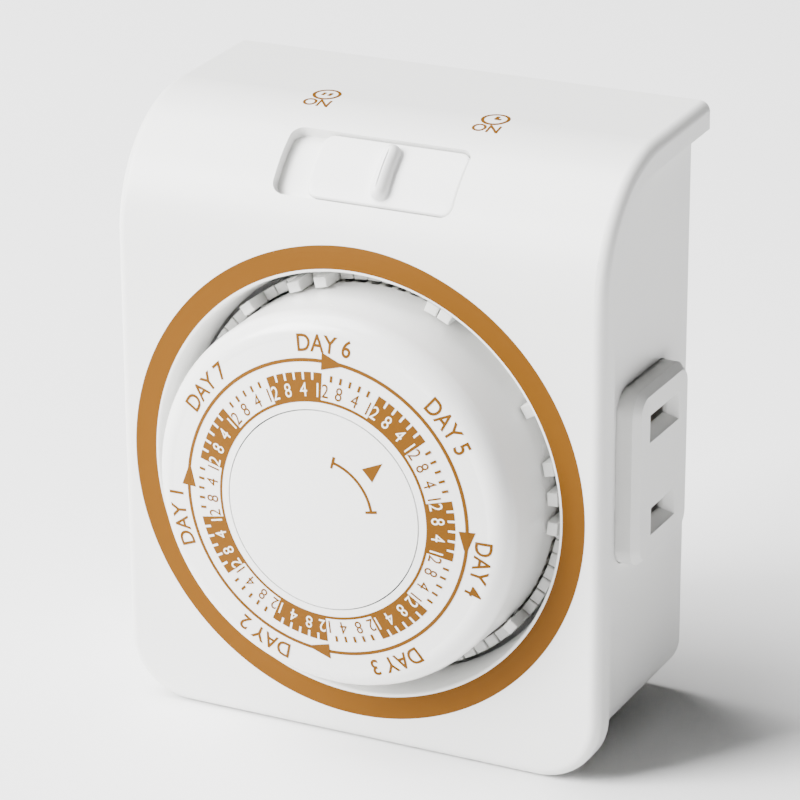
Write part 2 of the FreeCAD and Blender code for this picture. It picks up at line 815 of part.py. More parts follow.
def tripper(step, slid):
    """One tripper at its step, slid forward by a length from its pushed-in place."""
    half = tripper_width / 2
    block = box(-half, half, tripper_front, tripper_back, tripper_inner_radius, tripper_outer_radius)
    tongue = box(-tongue_width / 2, tongue_width / 2, tripper_back - tongue_thickness, tripper_back,
                 tongue_root_radius, tripper_inner_radius + 0.5)
    piece = block.fuse(tongue).removeSplitter()
    piece.translate(Vector(0, -slid, 0))
    piece.rotate(Vector(0, 0, 0), Vector(0, 1, 0), step * step_angle)
    return piece


def mesh_angle(driver_angle, driver_teeth, direction, teeth):
    """Angle of a tooth on the second gear that lets it mesh, for a driver tooth angle and line of centres."""
    phase = ((direction - driver_angle) * driver_teeth / 360.0) % 1.0
    return direction + 180.0 + (phase + 0.5) * 360.0 / teeth


def transfer_wheel():
    """Moulded wheel turned by the ring gear, with its pinion in front of the deck and its wheel behind."""
    angle = transfer_angle()
    bore = arbor_radius + arbor_clearance
    pinion = gear(ring_pinion_teeth, ring_module, gear_front + 0.1, gear_back, angle)
    sleeve = rod(0, 0, transfer_sleeve_radius, gear_back - 0.2, first_plane + 0.2)
    wheel = gear(first_wheel_teeth, train_module, first_plane, first_plane + wheel_thickness, angle)
    hub = rod(0, 0, wheel_hub_radius, first_plane, gear_plate_front - 0.3)
    body = fuse_all([pinion, sleeve, wheel, hub])
    body = body.cut(rod(0, 0, bore, gear_front - 1, gear_plate_front + 1))
    body.translate(Vector(transfer_at[0], 0, transfer_at[1]))
    return body


def transfer_angle():
    """Tooth angle of the transfer wheel's pinion, which its larger wheel shares."""
    return mesh_angle(ring_tooth_angle(), ring_teeth, transfer_direction, ring_pinion_teeth)


def idler_angle():
    """Tooth angle of the idler's pinion, which its larger wheel shares."""
    return mesh_angle(transfer_angle(), first_wheel_teeth, idler_direction, first_pinion_teeth)


def motor_angle():
    """Tooth angle of the motor's pinion."""
    return mesh_angle(idler_angle(), second_wheel_teeth, motor_direction, motor_pinion_teeth)


def idler_wheel():
    """Second moulded wheel, between the transfer wheel and the motor."""
    angle = idler_angle()
    pinion = gear(first_pinion_teeth, train_module, first_plane - 0.2, second_plane + 0.1, angle)
    wheel = gear(second_wheel_teeth, train_module, second_plane, second_plane + wheel_thickness, angle)
    hub = rod(0, 0, wheel_hub_radius, second_plane, gear_plate_front - 0.3)
    body = fuse_all([pinion, wheel, hub])
    body = body.cut(rod(0, 0, arbor_radius + arbor_clearance, first_plane - 1, gear_plate_front + 1))
    body.translate(Vector(idler_at[0], 0, idler_at[1]))
    return body


def motor_pinion():
    """Output pinion and shaft of the gear motor."""
    pinion = gear(motor_pinion_teeth, train_module, second_plane - 0.2, second_plane + wheel_thickness + 0.2,
                  motor_angle())
    shaft = rod(0, 0, motor_shaft_radius, second_plane - 0.2, plate_back + motor_depth / 2)
    body = fuse_all([pinion, shaft])
    body.translate(Vector(motor_at[0], 0, motor_at[1]))
    return body


def arbor(at, y0, y1):
    """Steel arbor for a wheel."""
    return rod(at[0], at[1], arbor_radius, y0, y1)


def gear_plate():
    """Plate screwed to three posts, with holes for the arbors and the motor's shaft."""
    plate = box(gear_plate_left, gear_plate_right, gear_plate_front, plate_back, gear_plate_foot, gear_plate_top)
    plate = plate.makeFillet(gear_plate_corner, edges_along(plate, Vector(0, 1, 0), lambda c: True))
    holes = [rod(x, z, plate_screw_radius + 0.15, gear_plate_front - 1, plate_back + 1) for x, z in plate_posts]
    for at in (transfer_at, idler_at):
        holes.append(rod(at[0], at[1], arbor_radius + 0.01, gear_plate_front - 1, plate_back + 1))
    holes.append(rod(motor_at[0], motor_at[1], motor_collar_radius + 0.1, gear_plate_front - 1, plate_back + 1))
    return cut_all(plate, holes)


def plate_screws():
    """Three small screws that hold the gear plate."""
    screws = []
    for x, z in plate_posts:
        head = rod(x, z, plate_screw_head_radius, plate_back, plate_back + plate_screw_head_height)
        shank = rod(x, z, plate_screw_radius, plate_back - plate_screw_length + 1.2, plate_back + 0.2)
        screws.append(head.fuse(shank).removeSplitter())
    return Part.makeCompound(screws)


def motor_can():
    """Steel cup of the gear motor, closed at the back."""
    x, z = motor_at
    can = rod(x, z, motor_radius, plate_back + motor_face_thickness, plate_back + motor_depth)
    room = rod(x, z, motor_radius - motor_wall, plate_back, plate_back + motor_depth - motor_wall)
    return can.cut(room)


def motor_face():
    """Front plate of the motor with the bearing collar that sits in the gear plate."""
    x, z = motor_at
    plate = rod(x, z, motor_radius, plate_back, plate_back + motor_face_thickness)
    collar = rod(x, z, motor_collar_radius, gear_plate_front + 0.2, plate_back + 0.2)
    bore = rod(x, z, motor_shaft_radius + turning_clearance, gear_plate_front - 1, plate_back + 2)
    return fuse_all([plate, collar]).cut(bore)


def motor_coil():
    """Wound coil on its bobbin inside the can."""
    x, z = motor_at
    front = plate_back + motor_face_thickness + 0.05
    back = plate_back + motor_depth - motor_wall - 0.05
    outer = motor_radius - motor_wall - motor_coil_gap
    spool = rod(x, z, outer, front, back).cut(rod(x, z, outer - 1.2, front + 0.6, back - 0.6))
    core = rod(x, z, outer - 0.8, front + 0.5, back - 0.5)
    bore = rod(x, z, motor_coil_inner, front - 1, back + 1)
    return fuse_all([spool, core]).cut(bore)


def rear_housing():
    """Back half of the box, with its screw bosses, locating lip and blade slots."""
    block, room = box_shell(seam_from_front, body_depth)
    back_edges = [e for e in block.Edges if e.BoundBox.YLength < 0.01 and abs(e.CenterOfMass.y - body_depth) < 0.01
                  and e.CenterOfMass.z < roof_back_above_dial - panel_thickness - 2]
    block = block.makeFillet(box_edge_round, back_edges)
    room = room.common(box(-far, far, -1, body_depth - box_wall, -far, far))
    shell = block.cut(room)
    bosses = [rod(x, z, screw_boss_radius, screw_post_back + screw_boss_gap, body_depth - 0.5)
              for x, z in screw_places]
    body = fuse_all([shell, rear_lip()] + bosses)
    holes = [rod(x, z, screw_hole_radius, screw_post_back - 1, body_depth + 1) for x, z in screw_places]
    recess_front = body_depth - screw_recess_depth()
    holes += [rod(x, z, screw_recess_radius, recess_front, body_depth + 1) for x, z in screw_places]
    for x, width in ((-blade_spacing / 2, neutral_blade_width), (blade_spacing / 2, line_blade_width)):
        half = width / 2 + blade_slot_clearance
        thick = blade_thickness / 2 + blade_slot_clearance
        z = plug_above_dial
        holes.append(box(x - thick, x + thick, body_depth - box_wall - 1, body_depth + 1, z - half, z + half))
    holes.append(outlet_window())
    return cut_all(body, holes)


def screw_recess_depth():
    """Depth of the recess that takes each case screw's head."""
    return screw_head_height + 1.2


def rear_lip():
    """Thin lip of the back half that locates inside the front half."""
    outer = half_room - lip_clearance
    foot = room_below_dial - lip_clearance
    y0 = seam_from_front - lip_height
    y1 = seam_from_front + lip_root_height
    lip = under_cover(panel_thickness + 3, outer, -foot, y0, y1)
    corners = edges_along(lip, Vector(0, 1, 0), lambda c: c.z < 1 - foot)
    lip = lip.makeFillet(box_corner_radius - box_wall - lip_clearance, corners)
    root = under_cover(panel_thickness + 3, half_room + 0.3, -room_below_dial - 0.3, seam_from_front, y1)
    corners = edges_along(root, Vector(0, 1, 0), lambda c: c.z < 1 - foot)
    root = root.makeFillet(box_corner_radius - box_wall, corners)
    lip = lip.fuse(root).removeSplitter()
    hollow = under_cover(panel_thickness, outer - lip_wall, lip_wall - foot, y0 - 1, y1 + 1)
    corners = edges_along(hollow, Vector(0, 1, 0), lambda c: c.z < 1 + lip_wall - foot)
    hollow = hollow.makeFillet(box_corner_radius - box_wall - lip_clearance - lip_wall, corners)
    keep_out = outlet_block(outlet_flange + 0.4, half_room - 3, half_box)
    return lip.cut(hollow).cut(keep_out)


def case_screws():
    """Screws that hold the two halves of the box together."""
    screws = []
    head_front = body_depth - screw_recess_depth()
    for x, z in screw_places:
        head = rod(x, z, screw_head_radius, head_front, head_front + screw_head_height)
        shank = rod(x, z, screw_radius, head_front - screw_length, head_front + 0.2)
        screws.append(head.fuse(shank).removeSplitter())
    return Part.makeCompound(screws)


def outlet_plate():
    """Raised plate of the side outlet with two sunk blade slots and a flange behind the box wall."""
    block = outlet_block(0, half_room - 0.1, outlet_face_x)
    face_edges = [e for e in block.Edges if e.BoundBox.XLength < 0.01
                  and abs(e.CenterOfMass.x - outlet_face_x) < 0.01]
    block = block.makeChamfer(outlet_chamfer, face_edges)
    flange = outlet_block(outlet_flange, half_room - 0.1 - outlet_flange_thickness, half_room - 0.1)
    body = fuse_all([block, flange])
    room = outlet_block(-1.6, half_room - 5, outlet_face_x - 2.0)
    body = body.cut(room)
    y = outlet_from_front
    tools = []
    for side, length in ((1, neutral_slot_length), (-1, line_slot_length)):
        z = plug_above_dial + side * blade_spacing / 2
        half_y = length / 2
        half_z = slot_mouth_height / 2
        tools.append(slot_lead(y, z, half_y, half_z))
        drop = slot_lead_slope
        tools.append(box(half_room, outlet_face_x, y - half_y + drop, y + half_y - drop,
                         z - half_z + drop, z + half_z - drop))
    return cut_all(body, tools)


def slot_lead(y, z, half_y, half_z):
    """Sloped mouth of one outlet slot."""
    wires = []
    for x, shrink in ((outlet_face_x + 0.01, 0.0), (outlet_face_x - slot_lead_depth, slot_lead_slope)):
        a = half_y - shrink
        b = half_z - shrink
        wires.append(outline([Vector(x, y - a, z - b), Vector(x, y + a, z - b),
                              Vector(x, y + a, z + b), Vector(x, y - a, z + b)]))
    return Part.makeLoft(wires, True, True)


def plug_blade(x, width):
    """One flat blade with its tip chamfers and hole, and a shoulder inside the back wall."""
    z = plug_above_dial
    half = width / 2
    thick = blade_thickness / 2
    tip = body_depth + blade_length
    c = blade_tip_chamfer
    wall_front = body_depth - box_wall
    root = wall_front - blade_inside
    s = half + blade_shoulder
    points = [(root, z - half), (root, z + half), (wall_front - 1.4, z + half), (wall_front - 1.4, z + s),
              (wall_front - 0.05, z + s), (wall_front - 0.05, z + half), (tip - c, z + half), (tip, z + half - c),
              (tip, z - half + c), (tip - c, z - half), (wall_front - 0.05, z - half), (wall_front - 0.05, z - s),
              (wall_front - 1.4, z - s), (wall_front - 1.4, z - half)]
    blade = side_slab(points, x - thick, x + thick)
    hole = bar_x(body_depth + blade_hole_from_face, z, blade_hole_radius, x - 2, x + 2)
    tip_edges = [e for e in blade.Edges if abs(e.CenterOfMass.y - tip) < 0.01 and abs(e.CenterOfMass.x - x) > 0.5]
    return blade.makeChamfer(0.4, tip_edges).cut(hole)


def jaws(z):
    """Spring leaves that grip a plug blade, joined along their back edge."""
    tip = jaw_root_x + jaw_length
    half = jaw_gap / 2 + jaw_leaf
    leaves = [box(jaw_root_x, tip, jaw_back, jaw_back + bus_thickness, z - half, z + half)]
    for side in (-1, 1):
        a = z + side * jaw_gap / 2
        b = a + side * jaw_leaf
        leaves.append(box(jaw_root_x, tip, jaw_front, jaw_back + 0.4, min(a, b), max(a, b)))
    return leaves


def neutral_contact():
    """Upper outlet contact and its bus bar from the neutral blade."""
    z = plug_above_dial + blade_spacing / 2
    half = bus_width / 2
    left = -blade_spacing / 2 - 1.6
    strip = box(left, jaw_root_x + bus_width, bus_back - bus_thickness, bus_back, z - half, z + half)
    leg = box(jaw_root_x, jaw_root_x + bus_width, jaw_back, bus_back, z - bus_thickness / 2, z + bus_thickness / 2)
    drop = box(left, left + 3.2, bus_back - bus_thickness, bus_back, plug_above_dial - 1, z)
    return fuse_all([strip, leg, drop] + jaws(z))


def line_contact():
    """Lower outlet contact, with the foot that carries the moving contact blade."""
    z = plug_above_dial - blade_spacing / 2
    half = moving_root_height / 2
    x0 = moving_strip_x + blade_strip_thickness / 2
    back = jaw_back + bus_thickness
    strip = box(x0, jaw_root_x + 2, jaw_back, back, z - half, z + half)
    foot = box(x0, x0 + bus_thickness, blade_strip_front, back, z - half, z + half)
    return fuse_all([strip, foot] + jaws(z))


def moving_contact():
    """Springy upright blade on the line contact's foot, with the bead it bends at and a rivet."""
    half = blade_strip_thickness / 2
    y0 = blade_strip_front
    y1 = y0 + blade_strip_width
    foot = plug_above_dial - blade_spacing / 2 - moving_root_height / 2
    strip = box(moving_strip_x - half, moving_strip_x + half, y0, y1, foot, moving_strip_top)
    bead = rod(moving_strip_x, foot + moving_root_height, moving_bead_radius, y0, y1)
    bead = bead.common(box(0, moving_strip_x + half, y0, y1, foot, moving_strip_top))
    rivet = bar_x((y0 + y1) / 2, contact_above_dial, contact_rivet_radius,
                  moving_strip_x - half - contact_rivet_height, moving_strip_x)
    return fuse_all([strip, bead, rivet])


def fixed_contact():
    """Contact on the strip that comes forward from the line blade."""
    z = contact_above_dial
    half = fixed_strip_width / 2
    tip = moving_strip_x - blade_strip_thickness / 2 - contact_rivet_height - contact_gap
    right = tip - contact_rivet_height
    blade_side = blade_spacing / 2 + blade_thickness / 2
    middle = blade_strip_front + blade_strip_width / 2
    strip = box(right - bus_thickness, right, blade_strip_front + 0.4, fixed_foot_back, z - half, z + half)
    foot = box(blade_side, right, fixed_foot_back - bus_thickness, fixed_foot_back, z - half, z)
    rivet = bar_x(middle, z, contact_rivet_radius, right - 0.2, tip)
    return fuse_all([strip, foot, rivet])


def slide_button():
    """Curved plate of the slide switch with its thumb ridge and stem."""
    outer = top_bend_radius
    floor = outer - window_depth + slide_gap
    half_arc = window_arc / 2 - slide_edge_gap
    right = window_width / 2 - slide_edge_gap
    left = right - (window_width - 2 * slide_edge_gap - slide_travel)
    plate = arc_patch(floor, floor + slide_thickness, -half_arc, half_arc, left, right)
    plate = plate.makeFillet(window_corner - slide_edge_gap, radial_edges(plate))
    middle = ridge_offset + slide_travel / 2
    ridge = arc_patch(floor, outer - 0.3 + ridge_height, -half_arc + 0.9, half_arc - 0.9,
                      middle - ridge_width / 2, middle + ridge_width / 2)
    ridge = ridge.makeFillet(ridge_width * 0.44, radial_edges(ridge))
    stem = arc_patch(outer - panel_thickness - carrier_gap - carrier_plate_thickness, floor + 0.3,
                     -stem_arc / 2, stem_arc / 2, middle - stem_width / 2, middle + stem_width / 2)
    return fuse_all([plate, ridge, stem])


def slide_carrier():
    """Inner plate clipped to the button's stem, with the leg that holds the trip lever when it is slid left."""
    outer = top_bend_radius
    top = outer - panel_thickness - carrier_gap
    middle = ridge_offset + slide_travel / 2
    half_arc = carrier_plate_arc / 2
    left = override_leg_left
    right = left + override_leg_width
    plate = arc_patch(top - carrier_plate_thickness, top, -half_arc, half_arc,
                      middle - carrier_plate_width / 2, middle + carrier_plate_width / 2)
    arm = arc_patch(top - carrier_plate_thickness, top, -half_arc, -half_arc + 3.0, middle, right)
    leg_back = override_leg_front + override_leg_depth
    link_foot = override_link_above_dial
    link_top = link_foot + override_link_height
    foot_z = override_foot_above_dial
    leg = box(left, right, override_leg_front, leg_back, foot_z, link_top)
    link = box(left, right, override_link_front, leg_back, link_foot, link_top)
    foot = box(left, right, override_foot_front, leg_back, foot_z, foot_z + override_foot_height)
    hole = arc_patch(top - 4, top + 1, -stem_arc / 2 - 0.05, stem_arc / 2 + 0.05,
                     middle - stem_width / 2 - 0.05, middle + stem_width / 2 + 0.05)
    return fuse_all([plate, arm, leg, link, foot]).cut(hole)


def write_trippers():
    """One node for each raised tripper and one for the pushed-in trippers of each day."""
    for number, step in enumerate(raised_trippers, 1):
        save(tripper(step, tripper_travel), "raised_tripper_%02d" % number)
    for day in range(days):
        first = day * trippers_per_day
        group = [tripper(step, 0) for step in range(first, first + trippers_per_day)
                 if step not in raised_trippers]
        save(Part.makeCompound(group), "day_%d_trippers" % (day + 1))


def write_parts():
    """Write every node."""
    save(front_cover(), "front_cover")
    save(front_housing(), "front_housing")
    save(rear_housing(), "rear_housing")
    save(case_screws(), "case_screws")
    save(outlet_plate(), "outlet_plate")
    save(dial_cap(), "dial_cap")
    save(centre_disc(), "centre_disc")
    save(dial_clip(), "dial_clip")
    save(tripper_carrier(), "tripper_carrier")
    write_trippers()
    save(transfer_wheel(), "transfer_wheel")
    save(idler_wheel(), "idler_wheel")
    save(motor_pinion(), "motor_pinion")
    save(arbor(transfer_at, gear_front - 0.2, plate_back), "transfer_arbor")
    save(arbor(idler_at, deck_back - 1, plate_back), "idler_arbor")
    save(gear_plate(), "gear_plate")
    save(plate_screws(), "gear_plate_screws")
    save(motor_can(), "motor_can")
    save(motor_face(), "motor_face")
    save(motor_coil(), "motor_coil")
    save(trip_lever(), "trip_lever")
    save(contact_finger(), "contact_finger")
    save(trip_spring(), "trip_spring")
    save(plug_blade(-blade_spacing / 2, neutral_blade_width), "neutral_blade")
    save(plug_blade(blade_spacing / 2, line_blade_width), "line_blade")
    save(neutral_contact(), "neutral_contact")
    save(line_contact(), "line_contact")
    save(moving_contact(), "moving_contact")
    save(fixed_contact(), "fixed_contact")
    save(slide_button(), "slide_button")
    save(slide_carrier(), "slide_carrier")


write_parts()
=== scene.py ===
import bpy
import bmesh
import json
import math
from mathutils import Matrix, Vector

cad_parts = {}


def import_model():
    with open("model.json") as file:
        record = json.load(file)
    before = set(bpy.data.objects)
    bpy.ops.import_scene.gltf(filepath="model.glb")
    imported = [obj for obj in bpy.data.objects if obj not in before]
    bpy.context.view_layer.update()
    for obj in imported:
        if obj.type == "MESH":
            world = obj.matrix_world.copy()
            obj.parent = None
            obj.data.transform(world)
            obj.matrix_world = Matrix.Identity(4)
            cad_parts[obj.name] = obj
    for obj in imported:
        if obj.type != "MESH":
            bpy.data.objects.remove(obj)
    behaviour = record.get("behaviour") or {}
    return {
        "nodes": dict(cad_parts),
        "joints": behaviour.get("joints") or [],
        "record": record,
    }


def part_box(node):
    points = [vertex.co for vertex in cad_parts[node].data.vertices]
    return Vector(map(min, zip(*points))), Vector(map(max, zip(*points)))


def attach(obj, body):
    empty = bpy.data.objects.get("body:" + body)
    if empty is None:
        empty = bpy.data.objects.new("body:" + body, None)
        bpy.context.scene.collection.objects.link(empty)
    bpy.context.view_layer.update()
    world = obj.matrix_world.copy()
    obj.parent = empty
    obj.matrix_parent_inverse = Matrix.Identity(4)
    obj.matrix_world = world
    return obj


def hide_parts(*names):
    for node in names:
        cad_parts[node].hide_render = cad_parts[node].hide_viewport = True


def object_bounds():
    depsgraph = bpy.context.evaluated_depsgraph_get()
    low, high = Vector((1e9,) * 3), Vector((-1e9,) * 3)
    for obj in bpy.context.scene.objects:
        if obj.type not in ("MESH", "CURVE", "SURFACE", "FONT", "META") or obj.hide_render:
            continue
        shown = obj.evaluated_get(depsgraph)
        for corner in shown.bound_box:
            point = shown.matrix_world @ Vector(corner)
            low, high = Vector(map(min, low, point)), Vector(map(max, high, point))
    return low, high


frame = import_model()
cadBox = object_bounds()
mm = 0.001
nodes = frame["nodes"]
joints = {joint["name"]: joint for joint in frame["joints"]}
print("timer frame loaded with", len(nodes), "solids")

# the dial axis and the cover's front face are the two places that everything is measured from
dialZ = joints["dial_turn"]["pos_m"][2]
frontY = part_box("front_cover")[0].y


def world(x, y, z):
    return Vector((x * mm, frontY + y * mm, dialZ + z * mm))


# The cover's bent skin, in mm from the front face and the dial axis

cover = {
    "bendRadius": 17.0, "roofBack": 45.95, "slope": 2.3, "depth": 32.6,
    "ringInner": 28.62, "ringOuter": 31.61, "lift": 0.03,
}
roofAtBend = cover["roofBack"] - (cover["depth"] - cover["bendRadius"]) * math.tan(math.radians(cover["slope"]))
bendZ = roofAtBend - cover["bendRadius"] / math.cos(math.radians(cover["slope"]))
bendTurn = math.radians(90.0 - cover["slope"])


def newPiece(name, mesh, material, body):
    piece = bpy.data.objects.new(name, mesh)
    bpy.context.scene.collection.objects.link(piece)
    piece.data.materials.clear()
    piece.data.materials.append(material)
    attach(piece, body)
    return piece


def smoothEdges(piece, degrees=32):
    for face in piece.data.polygons:
        face.use_smooth = True
    piece.data.set_sharp_from_angle(angle=math.radians(degrees))


def softenEdges(piece, width, segments=3, degrees=38):
    weld = piece.modifiers.new("join faces", "WELD")     # the solid's faces come in unjoined
    weld.merge_threshold = 0.002 * mm
    bevel = piece.modifiers.new("soft edges", "BEVEL")
    bevel.width = width * mm
    bevel.segments = segments
    bevel.limit_method = "ANGLE"
    bevel.angle_limit = math.radians(degrees)
    bevel.harden_normals = False
    bevel.use_clamp_overlap = True


def weighNormals(piece):
    weighted = piece.modifiers.new("even shading", "WEIGHTED_NORMAL")
    weighted.keep_sharp = True
    weighted.mode = "FACE_AREA"


# Finishes

surface = {
    "coatRoughness": 0.12, "cloudScale": 90.0, "cloudDetail": 4.0, "fineDetail": 3.0, "grainDepth": 0.02,
    "lineAlong": 140.0, "lineAcross": 5200.0, "lineDetail": 2.0, "lineStrength": 0.25, "lineDepth": 0.01,
}


def finish(name, colour, roughness, metallic=0.0, grain=0.0, grainScale=1400.0, drift=0.05, coat=0.0):
    material = bpy.data.materials.new(name)
    material.use_nodes = True
    tree = material.node_tree
    shader = tree.nodes["Principled BSDF"]
    shader.inputs["Base Color"].default_value = (*colour, 1.0)
    shader.inputs["Metallic"].default_value = metallic
    shader.inputs["Coat Weight"].default_value = coat
    shader.inputs["Coat Roughness"].default_value = surface["coatRoughness"]
    place = tree.nodes.new("ShaderNodeTexCoord")
    cloud = tree.nodes.new("ShaderNodeTexNoise")     # slow change of gloss over the moulding
    cloud.inputs["Scale"].default_value = surface["cloudScale"]
    cloud.inputs["Detail"].default_value = surface["cloudDetail"]
    spread = tree.nodes.new("ShaderNodeMapRange")
    spread.inputs["To Min"].default_value = roughness - drift
    spread.inputs["To Max"].default_value = roughness + drift
    tree.links.new(place.outputs["Object"], cloud.inputs["Vector"])
    tree.links.new(cloud.outputs["Fac"], spread.inputs["Value"])
    tree.links.new(spread.outputs["Result"], shader.inputs["Roughness"])
    if grain:
        fine = tree.nodes.new("ShaderNodeTexNoise")  # fine grain left by the tool
        fine.inputs["Scale"].default_value = grainScale
        fine.inputs["Detail"].default_value = surface["fineDetail"]
        bump = tree.nodes.new("ShaderNodeBump")
        bump.inputs["Strength"].default_value = grain
        bump.inputs["Distance"].default_value = surface["grainDepth"] * mm
        tree.links.new(place.outputs["Object"], fine.inputs["Vector"])
        tree.links.new(fine.outputs["Fac"], bump.inputs["Height"])
        tree.links.new(bump.outputs["Normal"], shader.inputs["Normal"])
    return material


def brushed(name, colour, roughness, along):
    material = finish(name, colour, roughness, metallic=1.0)
    tree = material.node_tree
    shader = tree.nodes["Principled BSDF"]
    place = tree.nodes["Texture Coordinate"]
    stretch = tree.nodes.new("ShaderNodeMapping")    # long thin lines along the rolling direction
    stretch.inputs["Scale"].default_value = [surface["lineAlong"] if axis == along else surface["lineAcross"]
                                             for axis in range(3)]
    lines = tree.nodes.new("ShaderNodeTexNoise")
    lines.inputs["Scale"].default_value = 1.0
    lines.inputs["Detail"].default_value = surface["lineDetail"]
    bump = tree.nodes.new("ShaderNodeBump")
    bump.inputs["Strength"].default_value = surface["lineStrength"]
    bump.inputs["Distance"].default_value = surface["lineDepth"] * mm
    tree.links.new(place.outputs["Object"], stretch.inputs["Vector"])
    tree.links.new(stretch.outputs["Vector"], lines.inputs["Vector"])
    tree.links.new(lines.outputs["Fac"], bump.inputs["Height"])
    tree.links.new(bump.outputs["Normal"], shader.inputs["Normal"])
    return material


shellWhite = finish("shell white satin", (0.80, 0.80, 0.785), 0.36, grain=0.10, grainScale=2600.0)
dialWhite = finish("dial white gloss", (0.82, 0.82, 0.805), 0.26, grain=0.04, coat=0.15)
keyWhite = finish("slide white satin", (0.81, 0.81, 0.80), 0.33, grain=0.08)
outletWhite = finish("outlet white", (0.78, 0.78, 0.765), 0.40, grain=0.12)
tripperWhite = finish("tripper white", (0.83, 0.83, 0.81), 0.34, grain=0.06)
goldPrint = finish("gold print", (0.125, 0.046, 0.0006), 0.6, grain=0.15, grainScale=5200.0)
goldPrint.node_tree.nodes["Principled BSDF"].inputs["Specular IOR Level"].default_value = 0.12
paperWhite = finish("reversed numerals", (0.80, 0.77, 0.68), 0.34)
natural = finish("natural nylon", (0.74, 0.73, 0.68), 0.45, grain=0.08)
blackPlate = finish("black nylon", (0.03, 0.03, 0.032), 0.48, grain=0.2)
coilWrap = finish("coil wrap", (0.30, 0.12, 0.02), 0.5, grain=0.3)
zincSteel = brushed("zinc plated steel", (0.60, 0.60, 0.58), 0.32, 1)
motorSteel = brushed("drawn steel", (0.62, 0.62, 0.62), 0.34, 0)
cutBrass = brushed("cut brass", (0.72, 0.50, 0.20), 0.28, 1)
bladeBrass = brushed("blade brass", (0.80, 0.62, 0.30), 0.24, 2)
springBrass = brushed("contact brass", (0.70, 0.49, 0.21), 0.30, 1)
print("finishes mixed")

finishOf = {
    "housing_white": shellWhite, "outlet_white": outletWhite, "dial_white": dialWhite, "switch_white": keyWhite,
    "tripper_white": tripperWhite, "carrier_plastic": natural, "gear_plastic": natural,
    "plate_plastic": blackPlate, "steel": zincSteel, "motor_steel": motorSteel, "coil_tape": coilWrap,
    "brass": cutBrass, "blade_metal": bladeBrass, "contact_metal": springBrass,
}
softEdge = {
    "front_housing": 0.25, "rear_housing": 0.18, "outlet_plate": 0.16,
    "neutral_blade": 0.14, "line_blade": 0.14,
}
tripperEdge = 0.16


def dressSolids():
    for row in frame["record"]["subparts"]:
        piece = nodes[row["node"]]
        piece.data.materials.clear()
        piece.data.materials.append(finishOf[row["material_slot"]])
        smoothEdges(piece)
        if "tripper" in row["node"] and row["node"] != "tripper_carrier":
            softenEdges(piece, tripperEdge)
        elif row["node"] in softEdge:
            softenEdges(piece, softEdge[row["node"]])
        weighNormals(piece)


dressSolids()
print("solids dressed")


# Dial print, drawn flat by radius and clock angle and laid on the dome

dial = {
    "crownTop": -9.35, "crownRadius": 120.0, "edgeRadius": 24.9, "edgeRound": 3.0,
    "lift": 0.045, "paleLift": 0.065, "inkThickness": 0.03,
    "firstBlock": -0.6, "blocks": 14, "ticksPerBlock": 5,
    "bandInner": 14.24, "bandOuter": 17.94, "bandLine": 0.34,
    "tickLength": 0.95, "tickWidth": 0.33, "tickShort": 0.12, "numeralHeight": 1.72, "numeralRadius": 15.78,
    "twoShift": 1.95, "eightShift": 0.25, "fourShift": 0.2, "oneShift": 1.7,     # degrees from the ticks
    "dayHeight": 2.25, "dayRadius": 21.55,
    "numeralSqueeze": 0.84, "numeralStroke": 0.0, "daySqueeze": 0.9, "dayStroke": 0.014,
    "circleRadius": 19.41, "circleWidth": 0.45,
    "arrowAngles": (-1.0, 89.0, 179.0, 269.0), "arrowLength": 3.2, "arrowWidth": 2.15,
}


def domeDepth(r):
    edge = dial["edgeRadius"] - dial["edgeRound"]
    flat = min(r, edge)
    depth = dial["crownTop"] + flat * flat / (2 * dial["crownRadius"])
    if r > edge:
        over = min((r - edge) / dial["edgeRound"], 1.0)
        depth += dial["edgeRound"] * (1 - math.sqrt(max(0.0, 1 - over * over)))
    return depth


def onDome(radius, clock, lift):
    turn = math.radians(clock)
    return world(radius * math.sin(turn), domeDepth(radius) - lift, radius * math.cos(turn))


def onCover(x, s, lift):
    return skinPoint(x, s, -lift)


def skinPoint(x, s, depth):
    # s runs up the front from the dial axis, over the bend and back along the roof, depth goes inward
    radius = cover["bendRadius"]
    if s <= bendZ:
        return world(x, depth, s)
    turn = min((s - bendZ) / radius, bendTurn)
    past = s - bendZ - radius * turn
    y = radius - (radius - depth) * math.cos(turn) + past * math.sin(turn)
    z = bendZ + (radius - depth) * math.sin(turn) + past * math.cos(turn)
    return world(x, y, z)


def printPiece(name, faces, lay, material, body, lift):
    # faces are lists of flat points, lay puts a flat point on the surface
    mesh = bpy.data.meshes.new(name)
    work = bmesh.new()
    for face in faces:
        work.faces.new([work.verts.new(lay(a, b, lift)) for a, b in face])
    bmesh.ops.remove_doubles(work, verts=work.verts, dist=0.0005 * mm)
    bmesh.ops.recalc_face_normals(work, faces=work.faces)
    outward = sum(face.normal.y * face.calc_area() for face in work.faces)
    outward -= sum(face.normal.z * face.calc_area() for face in work.faces)
    if outward > 0:
        bmesh.ops.reverse_faces(work, faces=work.faces)
    work.to_mesh(mesh)
    work.free()
    piece = newPiece(name, mesh, material, body)
    ink = piece.modifiers.new("ink", "SOLIDIFY")
    ink.thickness = dial["inkThickness"] * mm
    ink.offset = -1.0
    return piece


def sector(inner, outer, start, end, step=1.5, rows=3):
    count = max(1, math.ceil(abs(end - start) / step))
    faces = []
    for column in range(count):
        a0 = start + (end - start) * column / count
        a1 = start + (end - start) * (column + 1) / count
        for row in range(rows):
            r0 = inner + (outer - inner) * row / rows
            r1 = inner + (outer - inner) * (row + 1) / rows
            faces.append([(r0, a0), (r0, a1), (r1, a1), (r1, a0)])
    return faces


def tick(inner, outer, clock, width):
    half = math.degrees(0.5 * width / (0.5 * (inner + outer)))
    return [[(inner, clock - half), (inner, clock + half), (outer, clock + half), (outer, clock - half)]]


